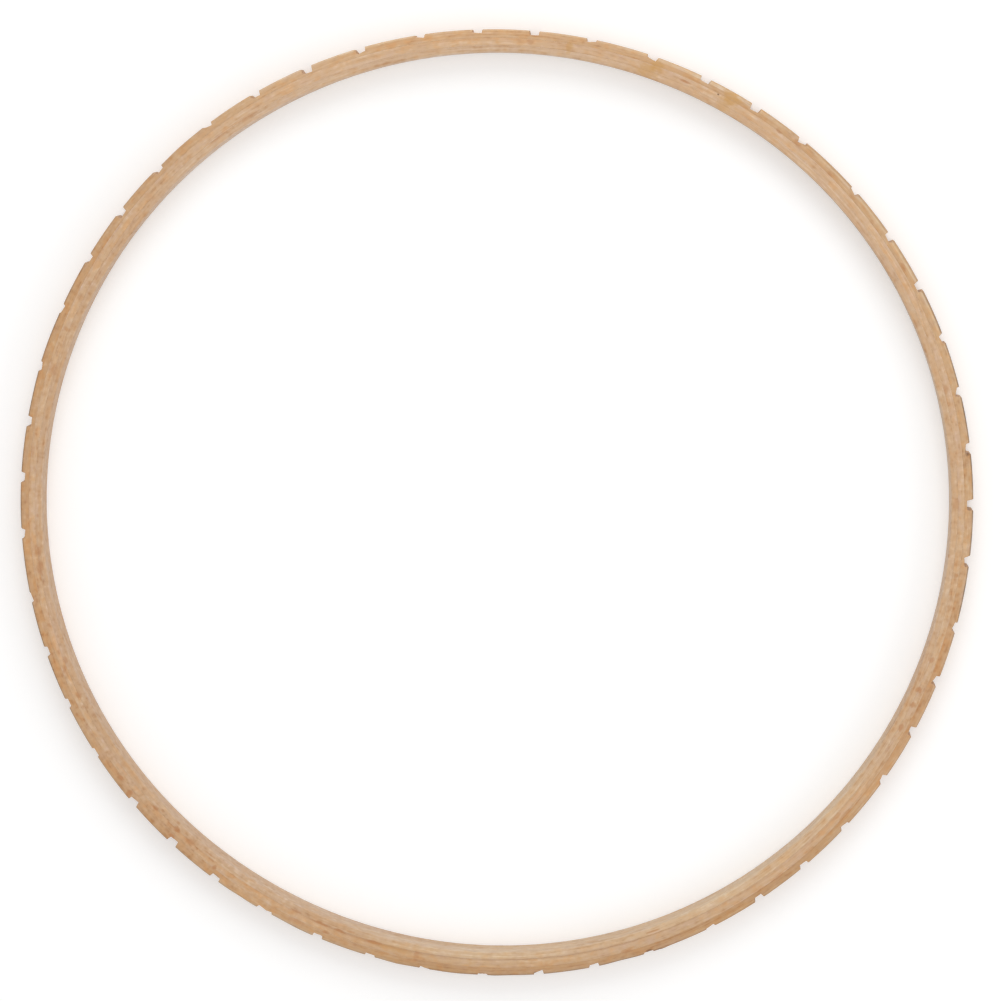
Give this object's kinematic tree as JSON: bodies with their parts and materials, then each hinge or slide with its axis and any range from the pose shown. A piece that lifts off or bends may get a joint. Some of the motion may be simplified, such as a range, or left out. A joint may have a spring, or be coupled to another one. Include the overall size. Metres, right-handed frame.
{
  "type": "circular weaving loom",
  "caption": "Flat round hoop of laminated bent wood with notches cut round its rim that hold the warp yarn for circular weaving.",
  "frame": {"origin": "on the hoop's axis, in the plane of its underside", "axes": "+Z along the hoop's axis, up from the face it lies on; +X to the picture's right and +Y to the picture's top"},
  "size_m": [0.3, 0.3, 0.01],
  "materials": {
    "outer_beech": "sanded bare beech, tan, grain along the strip",
    "middle_beech": "sanded bare beech, pale, grain along the strip",
    "inner_beech": "sanded bare beech, pale, grain along the strip",
    "glue": "cured wood glue, amber brown"
  },
  "bodies": {
    "root": {"outer_ply": "outer_beech", "middle_ply": "middle_beech", "inner_ply": "inner_beech", "outer_glue_line": "glue", "inner_glue_line": "glue", "outer_scarf_glue": "glue", "middle_scarf_glue": "glue", "inner_scarf_glue": "glue"}
  },
  "joints": []
}
